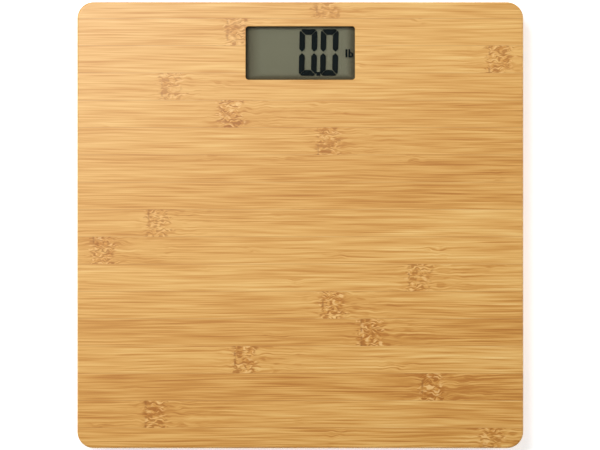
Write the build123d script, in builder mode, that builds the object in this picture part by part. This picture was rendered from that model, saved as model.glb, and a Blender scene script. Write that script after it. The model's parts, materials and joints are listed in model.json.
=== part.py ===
"""A digital bathroom scale: a laminated bamboo platform on four load cell feet.

Millimetres, +Z up. The floor is Z = 0 and the origin is on it, under the middle of the platform. +Y points
to the edge that holds the display, beyond the toes of whoever stands on the scale, and +X to their right.
"""

import os
from math import copysign, hypot

from build123d import *

# ---- Platform board ----
SIDE = 300.0
THICKNESS = 12.0
CORNER_RADIUS = 11.0
TOP_ROUND = 1.5
BOTTOM_ROUND = 2.0
UNDERSIDE = 11.0  # height of the board's underside above the floor
TOP = UNDERSIDE + THICKNESS

# ---- Display window ----
WINDOW_WIDTH = 73.5
WINDOW_LENGTH = 36.0
WINDOW_RADIUS = 2.0
WINDOW_MARGIN = 16.3  # from the board's edge to the window
WINDOW_Y = SIDE / 2 - WINDOW_MARGIN - WINDOW_LENGTH / 2
WINDOW_EDGE_BREAK = 0.25
OVERLAP = 0.5  # how far a feature is sunk into the one that it joins
LIP = 2.2  # the board's thickness around the window
LIP_Z = TOP - LIP
LENS_SINK = 1.0  # how far the lens lies below the board's surface
LENS_GAP = 0.2
LENS_FLANGE_WIDTH = 79.4
LENS_FLANGE_LENGTH = 42.0
LENS_FLANGE = 1.0

# ---- Liquid crystal display, stacked down from the lens ----
GASKET = 0.5
GASKET_WIDTH = 79.0
GASKET_LENGTH = 41.5
GASKET_BAND = 1.75
FILM = 0.2
GLASS = 0.7
GLASS_WIDTH = 79.0
CONTACT_LEDGE = 3.5  # the front glass reaches this far past the rear one
REAR_GLASS_LENGTH = 40.5
FRONT_GLASS_LENGTH = REAR_GLASS_LENGTH + CONTACT_LEDGE
GLASS_TOP_EDGE = 20.5  # from the window's centre to the glasses' +Y edge
FILM_WIDTH = 76.5
FILM_LENGTH = 38.5
GASKET_Z = LIP_Z - LENS_FLANGE - GASKET
POLARIZER_Z = GASKET_Z - FILM
FRONT_GLASS_Z = POLARIZER_Z - GLASS
REAR_GLASS_Z = FRONT_GLASS_Z - GLASS
REFLECTOR_Z = REAR_GLASS_Z - FILM
HOLDER_WIDTH = 81.0
HOLDER_LENGTH = 46.0
HOLDER_WALL = 0.8
HOLDER_SHIFT = -1.5  # the holder's centre from the window's centre
HOLDER_LEDGE = 4.0  # how much of the film's rim the holder carries
ZEBRA_WIDTH = 72.0
ZEBRA_THICKNESS = 2.0
ZEBRA_SHIFT = GLASS_TOP_EDGE - FRONT_GLASS_LENGTH + CONTACT_LEDGE / 2
SLIDE_GAP = 0.1

# ---- Circuit board ----
MODULE_Y = 111.0  # centre of everything that hangs under the display
BOARD_WIDTH = 100.0
BOARD_LENGTH = 50.0
BOARD_THICKNESS = 1.2
BOARD_Z = 14.0
BOARD_TOP = BOARD_Z + BOARD_THICKNESS
BOSS_X = 45.0
BOSS_Y = 20.5
BOSS_RADIUS = 2.5
BOARD_SCREW_RADIUS = 0.85
BOARD_SCREW_HEAD = 2.1
BOARD_SCREW_HEAD_HEIGHT = 1.1
BOSS_FLOOR = 1.0  # what is left under the hole in a boss

# ---- Parts under the circuit board ----
BLOB_RADIUS = 7.0
BLOB_HEIGHT = 1.6
CRYSTAL_X = 6.0
CRYSTAL_Y = MODULE_Y - 15
CRYSTAL_WIDTH = 10.2
CRYSTAL_LENGTH = 3.8
CRYSTAL_HEIGHT = 3.0
CRYSTAL_BRIM = 0.5
CAPACITOR_Y = MODULE_Y + 15
CAPACITOR_PITCH = 9.0
CAPACITOR_RADIUS = 2.5
CAPACITOR_HEIGHT = 5.2
CAPACITOR_CRIMP = 0.3

# ---- Module housing ----
FLANGE_WIDTH = 116.0
FLANGE_LENGTH = 64.0
FLANGE_RADIUS = 7.0
FLANGE = 1.8
FLANGE_TOP = UNDERSIDE + FLANGE
TUB_WIDTH = 104.0
TUB_LENGTH = 54.0
TUB_RADIUS = 5.0
TUB_BOTTOM = 6.0
TUB_WALL = 2.0
TUB_FLOOR = 1.8
TUB_DRAFT = 4.0
TUB_ROUND = 1.6
TUB_FLOOR_TOP = TUB_BOTTOM + TUB_FLOOR
POCKET_GAP = 0.3
MODULE_POCKET_TOP = 16.5
MODULE_SCREW_X = 54.6
MODULE_SCREW_Y = 25.0

# ---- Battery bay, door and coin cell ----
BAY_X = -28.0
BAY_WIDTH = 31.0
BAY_LENGTH = 37.0
BAY_TOP = 12.4
BAY_SHELF = 7.6
BAY_ROOF = 1.0  # what is left over the ways for the door's tabs and latch
DOOR_OPENING_WIDTH = 27.0
DOOR_OPENING_LENGTH = 29.0
DOOR_GAP = 0.2
DOOR_THICKNESS = 1.5
DOOR_CORNER = 2.5
DOOR_WIDTH = DOOR_OPENING_WIDTH - 2 * DOOR_GAP
DOOR_LENGTH = DOOR_OPENING_LENGTH - 2 * DOOR_GAP
DOOR_TOP = TUB_BOTTOM + DOOR_THICKNESS
HINGE_Y = MODULE_Y - DOOR_LENGTH / 2 + DOOR_THICKNESS / 2
TAB_X = 8.0
TAB_WIDTH = 5.0
TAB_REACH = 3.0
TAB_TOP = 8.9
TAB_RISER = 1.5
TAB_GAP = 0.15
TAB_RISER_Y = 1.0  # the middle of the tabs' risers, from the hinge line
TAB_ARM_Y = 0.25  # the root of the tabs' arms, from the hinge line
TAB_WAY = 2 * TAB_REACH + 1.2
LATCH_WIDTH = 8.0
LATCH_HEIGHT = 2.8
LATCH_THICKNESS = 1.0
LATCH_NOSE = 0.3
LATCH_WAY = 4.0
GRIP_WIDTH = 12.0
GRIP_LENGTH = 5.6
GRIP_DEPTH = 0.5
GRIP_RIDGE = 0.8
SCOOP_WIDTH = 14.0
SCOOP_LENGTH = 6.0
SCOOP_DEPTH = 1.0
CELL_RADIUS = 10.0
CELL_THICKNESS = 3.2
CELL_Z = 7.7
CELL_TOP = CELL_Z + CELL_THICKNESS
CELL_CAP_RADIUS = 8.7
CELL_CAP_RISE = 0.5
CELL_ROUND = 0.35
WELL_RADIUS = 10.3
WELL_TOP = 11.7
CONTACT_WIDTH = 4.0
CONTACT_THICKNESS = 0.3
CONTACT_FOOT = 3.0  # the bent end that lies under the circuit board
CONTACT_GAP = 0.05
POSITIVE_WAY = 2.0
NEGATIVE_WAY = 3.0

# ---- Unit button and switch ----
BUTTON_X = 30.0
BUTTON_RADIUS = 4.0
BUTTON_GAP = 0.25
BUTTON_FACE_Z = 6.3
BUTTON_FLANGE_RADIUS = 5.2
BUTTON_FLANGE_Z = 7.9
BUTTON_FLANGE = 0.8
BUTTON_STEM_RADIUS = 2.0
BUTTON_HOLLOW = 0.4
COLLAR_WALL = 1.5
COLLAR_HEIGHT = 1.6
DISH_RADIUS = 6.5
DISH_DEPTH = 0.5
SWITCH_SIDE = 6.0
SWITCH_HEIGHT = 3.5
SWITCH_CORNER = 0.5
PLUNGER_RADIUS = 1.7
PLUNGER_Z = 9.6
PLUNGER_TOP = 12.2
PLUNGER_HOLE_TOP = 12.8

# ---- Load cell feet ----
FOOT_REACH = 112.0  # of each foot's centre from the origin, along X and along Y
FOOT_FLANGE_RADIUS = 30.0
FOOT_POCKET_TOP = 14.0
RING_RADIUS = 24.0
RING_BOTTOM = 3.5
RING_DRAFT = 3.0
RING_ROUND = 1.0
FOOT_FLANGE_ROUND = 0.5
CAVITY_RADIUS = 22.5
CAVITY_TOP = 11.2
RETAINING_LIP_RADIUS = 21.6
RETAINING_LIP_TOP = 4.4
SEAT_Z = 9.9  # where the load cell's frame bears on the housing
SEAT_Y = 13.0
SEAT_WIDTH = 5.0
SEAT_LENGTH = 22.0
FOOT_SCREW_CIRCLE = 27.0
FOOT_SCREW_ANGLES = (60, 180, 300)
LOAD_CELL_SIDE = 34.0
LOAD_CELL_THICKNESS = 2.5
LOAD_CELL_CORNER = 5.0
LOAD_CELL_Z = SEAT_Z - LOAD_CELL_THICKNESS
TONGUE_WIDTH = 12.0
TONGUE_TIP = -12.0
TONGUE_ROOT = 10.0
TONGUE_SLOT = 2.0
TONGUE_HOLE_RADIUS = 2.1
GAUGE_X = 6.5
GAUGE_LENGTH = 6.0
GAUGE_WIDTH = 8.0
GAUGE_HEIGHT = 1.1
GAUGE_CORNER = 1.5
GAUGE_ROUND = 0.5
CAP_RADIUS = 21.3
CAP_FLANGE_RADIUS = 22.2
CAP_BOTTOM = 2.0
CAP_FLANGE_Z = 4.6
CAP_FLANGE_TOP = 6.2
CAP_FLOOR_TOP = 4.8
CAP_WALL = 1.5
CAP_ROUND = 0.6
CAP_RIBS = 6
CAP_RIB = 1.2
POST_RADIUS = 4.5
PIN_RADIUS = 1.9
PIN_TOP = 9.3
PAD_RADIUS = 19.0
PAD_HEIGHT = 3.0
PAD_RECESS_RADIUS = 19.2
PAD_ROUND = 0.7
TREAD_RADII = (6.5, 10.5, 14.5)
TREAD_WIDTH = 1.0
TREAD_DEPTH = 0.7

# ---- Screws that hold the housings to the platform ----
SCREW_HEAD_RADIUS = 2.6
SCREW_RADIUS = 1.4
SCREW_GAP = 0.1
SCREW_LENGTH = 8.5
SCREW_TIP = 1.5
CROSS_LENGTH = 2.6
CROSS_WIDTH = 0.7
CROSS_DEPTH = 0.9

# ---- Leads and their grooves ----
LEAD_RADIUS = 0.5
LEAD_PITCH = 1.4
LEAD_Z = 13.4
LEAD_FLAT = 2.0  # how far a lead runs along the load cell before it rises
LEAD_RISE = 4.0
LEAD_BENDS = (1.5, 2.5)
GROOVE_WIDTH = 6.0
COVER_WIDTH = 9.0
COVER_THICKNESS = 1.2
COVER_GAP = 0.15
TOE_LEAD_END_X = 46.0
HEEL_LEAD_END = (34.0, 90.0)
LEAD_HOLE = (10.8, 16.6)  # local X range of the hole in a foot housing's ceiling

FEET = {
    "toe_left": (-FOOT_REACH, FOOT_REACH),
    "toe_right": (FOOT_REACH, FOOT_REACH),
    "heel_left": (-FOOT_REACH, -FOOT_REACH),
    "heel_right": (FOOT_REACH, -FOOT_REACH),
}
LEADS = {"red": LEAD_PITCH, "white": 0.0, "black": -LEAD_PITCH}


def level(z, x=0.0, y=0.0):
    """The horizontal plane at height z, with its origin above (x, y)."""
    return Plane((x, y, z))


def lead_end(x, y):
    """Where the leads from the foot at (x, y) stop, under the circuit board."""
    if y > 0:
        return copysign(TOE_LEAD_END_X, x), y
    return copysign(HEEL_LEAD_END[0], x), HEEL_LEAD_END[1]


def lead_direction(x, y):
    """The unit vector of the leads as they leave the foot at (x, y), and their run to the circuit board."""
    end_x, end_y = lead_end(x, y)
    run = hypot(end_x - x, end_y - y)
    return Vector((end_x - x) / run, (end_y - y) / run, 0), run


def foot_level(z, x, y):
    """A horizontal plane over the foot at (x, y), with its X axis along that foot's leads."""
    return Plane((x, y, z), x_dir=lead_direction(x, y)[0])


def foot_section(x, y, shift=0.0):
    """The upright plane along the leads of the foot at (x, y): local X is along them and local Y is up."""
    along, _ = lead_direction(x, y)
    across = Vector(along.Y, -along.X, 0)
    return Plane(Vector(x, y, 0) - across * shift, x_dir=along, z_dir=across)


def facing_down(z, x=0.0, y=0.0):
    """A plane at height z that faces the floor, for the heads of screws."""
    return Plane((x, y, z), x_dir=(1, 0, 0), z_dir=(0, 0, -1))


def save(piece, name):
    """Labels a finished piece and writes its STEP file."""
    piece.part.label = name
    export_step(piece.part, f"parts/{name}.step")


# ---- Platform ----


def platform_board():
    with BuildPart() as board:
        with BuildSketch(level(UNDERSIDE)):
            RectangleRounded(SIDE, SIDE, CORNER_RADIUS)
        extrude(amount=THICKNESS)
        fillet(board.faces().sort_by(Axis.Z)[-1].edges(), TOP_ROUND)
        fillet(board.faces().sort_by(Axis.Z)[0].edges(), BOTTOM_ROUND)

        # The window, and the stepped pocket behind it that takes the display and its housing.
        with BuildSketch(level(UNDERSIDE, y=WINDOW_Y)):
            RectangleRounded(WINDOW_WIDTH, WINDOW_LENGTH, WINDOW_RADIUS)
        extrude(amount=THICKNESS, mode=Mode.SUBTRACT)
        chamfer(board.faces().sort_by(Axis.Z)[-1].inner_wires().edges(), WINDOW_EDGE_BREAK)
        with BuildSketch(level(UNDERSIDE, y=WINDOW_Y + HOLDER_SHIFT)):
            RectangleRounded(
                HOLDER_WIDTH + 2 * POCKET_GAP,
                HOLDER_LENGTH + 2 * POCKET_GAP,
                WINDOW_RADIUS,
            )
        extrude(amount=LIP_Z - UNDERSIDE, mode=Mode.SUBTRACT)
        with BuildSketch(level(UNDERSIDE, y=MODULE_Y)):
            RectangleRounded(TUB_WIDTH + 2 * POCKET_GAP, TUB_LENGTH + 2 * POCKET_GAP, TUB_RADIUS)
        extrude(amount=MODULE_POCKET_TOP - UNDERSIDE, mode=Mode.SUBTRACT)
        with BuildSketch(level(UNDERSIDE, y=MODULE_Y)):
            RectangleRounded(
                FLANGE_WIDTH + 2 * POCKET_GAP,
                FLANGE_LENGTH + 2 * POCKET_GAP,
                FLANGE_RADIUS,
            )
        extrude(amount=FLANGE, mode=Mode.SUBTRACT)
        with Locations(facing_down(FLANGE_TOP, y=MODULE_Y)):
            with GridLocations(2 * MODULE_SCREW_X, 2 * MODULE_SCREW_Y, 2, 2):
                Hole(SCREW_RADIUS + SCREW_GAP, depth=SCREW_LENGTH - FLANGE + SCREW_GAP)

        for x, y in FEET.values():
            _, run = lead_direction(x, y)
            with BuildSketch(foot_level(UNDERSIDE, x, y)):
                Circle(FOOT_FLANGE_RADIUS + POCKET_GAP)
            extrude(amount=FOOT_POCKET_TOP - UNDERSIDE, mode=Mode.SUBTRACT)
            with Locations(foot_level(FOOT_POCKET_TOP, x, y)):
                with PolarLocations(FOOT_SCREW_CIRCLE, 3, start_angle=FOOT_SCREW_ANGLES[0]):
                    Cylinder(
                        SCREW_RADIUS + SCREW_GAP,
                        SCREW_LENGTH - (FOOT_POCKET_TOP - UNDERSIDE) + SCREW_GAP,
                        align=(Align.CENTER, Align.CENTER, Align.MIN),
                        mode=Mode.SUBTRACT,
                    )
            # The groove for the leads, and the wider rebate for its cover.
            with BuildSketch(foot_level(UNDERSIDE, x, y)):
                with Locations(((FOOT_FLANGE_RADIUS + run) / 2, 0)):
                    Rectangle(run - FOOT_FLANGE_RADIUS + GROOVE_WIDTH, GROOVE_WIDTH)
            extrude(amount=FOOT_POCKET_TOP - UNDERSIDE, mode=Mode.SUBTRACT)
            with BuildSketch(foot_level(UNDERSIDE, x, y)):
                with Locations(((FOOT_FLANGE_RADIUS + run) / 2, 0)):
                    Rectangle(run - FOOT_FLANGE_RADIUS, COVER_WIDTH + 2 * COVER_GAP)
            extrude(amount=COVER_THICKNESS, mode=Mode.SUBTRACT)
    return board


def groove_cover(x, y):
    """The strip that closes a groove, from the foot's flange to the module's, flush with the underside."""
    _, run = lead_direction(x, y)
    with BuildPart() as cover:
        with BuildSketch(foot_level(UNDERSIDE, x, y)):
            with Locations((run / 2, 0)):
                Rectangle(run, COVER_WIDTH)
            Circle(FOOT_FLANGE_RADIUS + POCKET_GAP + COVER_GAP, mode=Mode.SUBTRACT)
        extrude(amount=COVER_THICKNESS)
        with BuildSketch(level(UNDERSIDE, y=MODULE_Y)):
            Rectangle(
                FLANGE_WIDTH + 2 * (POCKET_GAP + COVER_GAP),
                FLANGE_LENGTH + 2 * (POCKET_GAP + COVER_GAP),
            )
        extrude(amount=COVER_THICKNESS, mode=Mode.SUBTRACT)
        chamfer(cover.faces().sort_by(Axis.Z)[0].edges(), COVER_GAP)
    return cover


# ---- Display ----


def display_window():
    with BuildPart() as window:
        with BuildSketch(level(LIP_Z - LENS_FLANGE, y=WINDOW_Y)):
            RectangleRounded(LENS_FLANGE_WIDTH, LENS_FLANGE_LENGTH, WINDOW_RADIUS / 2)
        extrude(amount=LENS_FLANGE)
        with BuildSketch(level(LIP_Z, y=WINDOW_Y)):
            RectangleRounded(
                WINDOW_WIDTH - 2 * LENS_GAP,
                WINDOW_LENGTH - 2 * LENS_GAP,
                WINDOW_RADIUS - LENS_GAP,
            )
        extrude(amount=LIP - LENS_SINK)
        chamfer(window.faces().sort_by(Axis.Z)[-1].edges(), LENS_GAP)
    return window


def display_gasket():
    with BuildPart() as gasket:
        with BuildSketch(level(GASKET_Z, y=WINDOW_Y)):
            Rectangle(GASKET_WIDTH, GASKET_LENGTH)
            Rectangle(GASKET_WIDTH - 2 * GASKET_BAND, GASKET_LENGTH - 2 * GASKET_BAND, mode=Mode.SUBTRACT)
        extrude(amount=GASKET)
    return gasket


def display_film(z):
    """The front polarizer or the rear reflector: a thin film over the part of the display that is seen."""
    with BuildPart() as film:
        with BuildSketch(level(z, y=WINDOW_Y)):
            Rectangle(FILM_WIDTH, FILM_LENGTH)
        extrude(amount=FILM)
    return film


def display_glass(z, length):
    """One of the display's two glasses. They share their +Y edge, and the longer has the contact ledge."""
    with BuildPart() as glass:
        with BuildSketch(level(z, y=WINDOW_Y + GLASS_TOP_EDGE - length / 2)):
            Rectangle(GLASS_WIDTH, length)
        extrude(amount=GLASS)
    return glass


def display_holder():
    """The frame that keeps the glasses and the zebra strip in place over the circuit board."""
    with BuildPart() as holder:
        with BuildSketch(level(BOARD_TOP, y=WINDOW_Y + HOLDER_SHIFT)):
            RectangleRounded(HOLDER_WIDTH, HOLDER_LENGTH, WINDOW_RADIUS / 2)
        extrude(amount=POLARIZER_Z - BOARD_TOP)
        with BuildSketch(level(REFLECTOR_Z, y=WINDOW_Y + HOLDER_SHIFT)):
            Rectangle(HOLDER_WIDTH - 2 * HOLDER_WALL, HOLDER_LENGTH - 2 * HOLDER_WALL)
        extrude(amount=POLARIZER_Z - REFLECTOR_Z, mode=Mode.SUBTRACT)
        with BuildSketch(level(BOARD_TOP, y=WINDOW_Y)):
            RectangleRounded(
                FILM_WIDTH - 2 * HOLDER_LEDGE,
                FILM_LENGTH - 2 * HOLDER_LEDGE,
                WINDOW_RADIUS,
            )
        extrude(amount=REFLECTOR_Z - BOARD_TOP, mode=Mode.SUBTRACT)
        with BuildSketch(level(BOARD_TOP, y=WINDOW_Y + ZEBRA_SHIFT)):
            Rectangle(ZEBRA_WIDTH + 2 * SLIDE_GAP, ZEBRA_THICKNESS + 2 * SLIDE_GAP)
        extrude(amount=REFLECTOR_Z - BOARD_TOP, mode=Mode.SUBTRACT)
    return holder


def zebra_strip():
    """The striped rubber connector between the circuit board and the front glass's contact ledge."""
    with BuildPart() as strip:
        with BuildSketch(level(BOARD_TOP, y=WINDOW_Y + ZEBRA_SHIFT)):
            Rectangle(ZEBRA_WIDTH, ZEBRA_THICKNESS)
        extrude(amount=FRONT_GLASS_Z - BOARD_TOP)
    return strip


# ---- Electronics ----


def circuit_board():
    with BuildPart() as board:
        with BuildSketch(level(BOARD_Z, y=MODULE_Y)):
            RectangleRounded(BOARD_WIDTH, BOARD_LENGTH, WINDOW_RADIUS)
            with GridLocations(2 * BOSS_X, 2 * BOSS_Y, 2, 2):
                Circle(BOARD_SCREW_RADIUS + 2 * SCREW_GAP, mode=Mode.SUBTRACT)
        extrude(amount=BOARD_THICKNESS)
    return board


def circuit_board_screws():
    with BuildPart() as screws:
        with BuildSketch(level(BOARD_TOP, y=MODULE_Y)):
            with GridLocations(2 * BOSS_X, 2 * BOSS_Y, 2, 2):
                Circle(BOARD_SCREW_HEAD)
        extrude(amount=BOARD_SCREW_HEAD_HEIGHT)
        with BuildSketch(level(TUB_FLOOR_TOP + BOARD_THICKNESS, y=MODULE_Y)):
            with GridLocations(2 * BOSS_X, 2 * BOSS_Y, 2, 2):
                Circle(BOARD_SCREW_RADIUS)
        extrude(amount=BOARD_TOP - TUB_FLOOR_TOP - BOARD_THICKNESS)
    return screws


def controller_blob():
    """The drop of epoxy over the bare controller chip, on the board's lower side."""
    sphere_radius = (BLOB_RADIUS**2 + BLOB_HEIGHT**2) / (2 * BLOB_HEIGHT)
    with BuildPart() as blob:
        with Locations((0, MODULE_Y, BOARD_Z - BLOB_HEIGHT + sphere_radius)):
            Sphere(sphere_radius)
        split(bisect_by=level(BOARD_Z), keep=Keep.BOTTOM)
    return blob


def crystal():
    """The clock crystal's metal can, lying against the circuit board."""
    with BuildPart() as can:
        with BuildSketch(level(BOARD_Z, x=CRYSTAL_X, y=CRYSTAL_Y)):
            SlotOverall(CRYSTAL_WIDTH + 2 * CRYSTAL_BRIM, CRYSTAL_LENGTH + 2 * CRYSTAL_BRIM)
        extrude(amount=-CRYSTAL_BRIM)
        with BuildSketch(level(BOARD_Z, x=CRYSTAL_X, y=CRYSTAL_Y)):
            SlotOverall(CRYSTAL_WIDTH, CRYSTAL_LENGTH)
        extrude(amount=-CRYSTAL_HEIGHT - CRYSTAL_BRIM)
        fillet(can.faces().sort_by(Axis.Z)[0].edges(), CRYSTAL_BRIM)
    return can


def capacitors():
    """Two small electrolytic capacitors under the circuit board."""
    with BuildPart() as pair:
        with BuildSketch(level(BOARD_Z, y=CAPACITOR_Y)):
            with GridLocations(CAPACITOR_PITCH, 0, 2, 1):
                Circle(CAPACITOR_RADIUS)
        extrude(amount=-CAPACITOR_HEIGHT)
        fillet(pair.faces().group_by(Axis.Z)[0].edges(), CAPACITOR_CRIMP)
    return pair


def unit_switch_body():
    with BuildPart() as body:
        with BuildSketch(level(BOARD_Z, x=BUTTON_X, y=MODULE_Y)):
            RectangleRounded(SWITCH_SIDE, SWITCH_SIDE, SWITCH_CORNER)
        extrude(amount=-SWITCH_HEIGHT)
        with BuildSketch(level(PLUNGER_HOLE_TOP, x=BUTTON_X, y=MODULE_Y)):
            Circle(PLUNGER_RADIUS + SLIDE_GAP)
        extrude(amount=BOARD_Z - SWITCH_HEIGHT - PLUNGER_HOLE_TOP, mode=Mode.SUBTRACT)
    return body


def unit_switch_plunger():
    with BuildPart() as plunger:
        with BuildSketch(level(PLUNGER_Z, x=BUTTON_X, y=MODULE_Y)):
            Circle(PLUNGER_RADIUS)
        extrude(amount=PLUNGER_TOP - PLUNGER_Z)
    return plunger


def unit_button():
    """The button under the scale that changes the unit, with a hollow for the fingertip."""
    with BuildPart() as button:
        with BuildSketch(level(BUTTON_FACE_Z, x=BUTTON_X, y=MODULE_Y)):
            Circle(BUTTON_RADIUS)
        extrude(amount=BUTTON_FLANGE_Z - BUTTON_FACE_Z)
        with BuildSketch(level(BUTTON_FLANGE_Z, x=BUTTON_X, y=MODULE_Y)):
            Circle(BUTTON_FLANGE_RADIUS)
        extrude(amount=BUTTON_FLANGE)
        with BuildSketch(level(BUTTON_FLANGE_Z + BUTTON_FLANGE, x=BUTTON_X, y=MODULE_Y)):
            Circle(BUTTON_STEM_RADIUS)
        extrude(amount=PLUNGER_Z - BUTTON_FLANGE_Z - BUTTON_FLANGE)
        fillet(button.faces().sort_by(Axis.Z)[0].edges(), BUTTON_HOLLOW)
        # A shallow spherical hollow in the face.
        sphere_radius = (BUTTON_RADIUS**2 / 2 + BUTTON_HOLLOW**2) / (2 * BUTTON_HOLLOW)
        with Locations((BUTTON_X, MODULE_Y, BUTTON_FACE_Z + BUTTON_HOLLOW - sphere_radius)):
            Sphere(sphere_radius, mode=Mode.SUBTRACT)
    return button


# ---- Module housing ----


def module_housing():
    with BuildPart() as housing:
        with BuildSketch(level(FLANGE_TOP, y=MODULE_Y)):
            RectangleRounded(TUB_WIDTH, TUB_LENGTH, TUB_RADIUS)
        extrude(amount=TUB_BOTTOM - FLANGE_TOP, taper=TUB_DRAFT)
        fillet(housing.faces().sort_by(Axis.Z)[0].edges(), TUB_ROUND)
        with BuildSketch(level(UNDERSIDE, y=MODULE_Y)):
            RectangleRounded(FLANGE_WIDTH, FLANGE_LENGTH, FLANGE_RADIUS)
        extrude(amount=FLANGE)
        with BuildSketch(level(TUB_FLOOR_TOP, y=MODULE_Y)):
            RectangleRounded(
                TUB_WIDTH - 2 * TUB_WALL,
                TUB_LENGTH - 2 * TUB_WALL,
                TUB_RADIUS - TUB_WALL,
            )
        extrude(amount=FLANGE_TOP - TUB_FLOOR_TOP, mode=Mode.SUBTRACT)

        # Bosses for the circuit board, the block around the battery and the collar around the button.
        with BuildSketch(level(TUB_FLOOR_TOP, y=MODULE_Y)):
            with GridLocations(2 * BOSS_X, 2 * BOSS_Y, 2, 2):
                Circle(BOSS_RADIUS)
        extrude(amount=BOARD_Z - TUB_FLOOR_TOP)
        with BuildSketch(level(BAY_SHELF, x=BAY_X, y=MODULE_Y)):
            RectangleRounded(BAY_WIDTH, BAY_LENGTH, WINDOW_RADIUS)
        extrude(amount=BAY_TOP - BAY_SHELF)
        with BuildSketch(level(TUB_FLOOR_TOP, x=BUTTON_X, y=MODULE_Y)):
            Circle(BUTTON_FLANGE_RADIUS + COLLAR_WALL)
        extrude(amount=COLLAR_HEIGHT)
        with BuildSketch(level(TUB_FLOOR_TOP, x=BUTTON_X, y=MODULE_Y)):
            Circle(BUTTON_FLANGE_RADIUS + BUTTON_GAP)
        extrude(amount=COLLAR_HEIGHT, mode=Mode.SUBTRACT)
        with Locations(level(BOARD_Z, y=MODULE_Y)):
            with GridLocations(2 * BOSS_X, 2 * BOSS_Y, 2, 2):
                Hole(BOARD_SCREW_RADIUS + SCREW_GAP / 2, depth=BOARD_Z - TUB_FLOOR_TOP - BOSS_FLOOR)

        # The button's hole in its dish.
        with BuildSketch(level(TUB_BOTTOM, x=BUTTON_X, y=MODULE_Y)):
            Circle(DISH_RADIUS)
        extrude(amount=DISH_DEPTH, mode=Mode.SUBTRACT)
        with BuildSketch(level(TUB_BOTTOM, x=BUTTON_X, y=MODULE_Y)):
            Circle(BUTTON_RADIUS + BUTTON_GAP)
        extrude(amount=TUB_FLOOR, mode=Mode.SUBTRACT)

        # The battery door's opening, the well for the coin cell, and the ways for tabs, latch and contacts.
        with BuildSketch(level(TUB_BOTTOM, x=BAY_X, y=MODULE_Y)) as opening:
            Rectangle(DOOR_OPENING_WIDTH, DOOR_OPENING_LENGTH)
            fillet(opening.vertices().group_by(Axis.Y)[-1], DOOR_CORNER)
        extrude(amount=BAY_SHELF - TUB_BOTTOM, mode=Mode.SUBTRACT)
        with BuildSketch(level(BAY_SHELF, x=BAY_X, y=MODULE_Y)):
            Circle(WELL_RADIUS)
        extrude(amount=WELL_TOP - BAY_SHELF, mode=Mode.SUBTRACT)
        with BuildSketch(level(BAY_SHELF, x=BAY_X, y=HINGE_Y)):
            with GridLocations(2 * TAB_X, 0, 2, 1):
                Rectangle(TAB_WIDTH + 4 * DOOR_GAP, TAB_WAY)
        extrude(amount=BAY_TOP - BAY_SHELF - BAY_ROOF, mode=Mode.SUBTRACT)
        with BuildSketch(level(BAY_SHELF, x=BAY_X, y=MODULE_Y + DOOR_LENGTH / 2 - DOOR_THICKNESS)):
            Rectangle(LATCH_WIDTH + 4 * DOOR_GAP, LATCH_WAY)
        extrude(amount=BAY_TOP - BAY_SHELF - BAY_ROOF, mode=Mode.SUBTRACT)
        with BuildSketch(level(BAY_SHELF, x=BAY_X + CELL_RADIUS, y=MODULE_Y)):
            Rectangle(POSITIVE_WAY, CONTACT_WIDTH + 2 * DOOR_GAP)
        extrude(amount=BAY_TOP - BAY_SHELF, mode=Mode.SUBTRACT)
        with BuildSketch(level(CELL_TOP, x=BAY_X - CELL_RADIUS - OVERLAP, y=MODULE_Y)):
            Rectangle(NEGATIVE_WAY, CONTACT_WIDTH + 2 * DOOR_GAP)
        extrude(amount=BAY_TOP - CELL_TOP, mode=Mode.SUBTRACT)

        # A thumb scoop beside the door's latch, and countersunk holes in the flange.
        with BuildSketch(level(TUB_BOTTOM, x=BAY_X, y=MODULE_Y + DOOR_OPENING_LENGTH / 2)):
            SlotOverall(SCOOP_WIDTH, SCOOP_LENGTH)
        extrude(amount=SCOOP_DEPTH, mode=Mode.SUBTRACT)
        with Locations(facing_down(UNDERSIDE, y=MODULE_Y)):
            with GridLocations(2 * MODULE_SCREW_X, 2 * MODULE_SCREW_Y, 2, 2):
                CounterSinkHole(
                    SCREW_RADIUS + SCREW_GAP,
                    SCREW_HEAD_RADIUS + SCREW_GAP,
                    depth=FLANGE,
                )
    return housing


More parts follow.
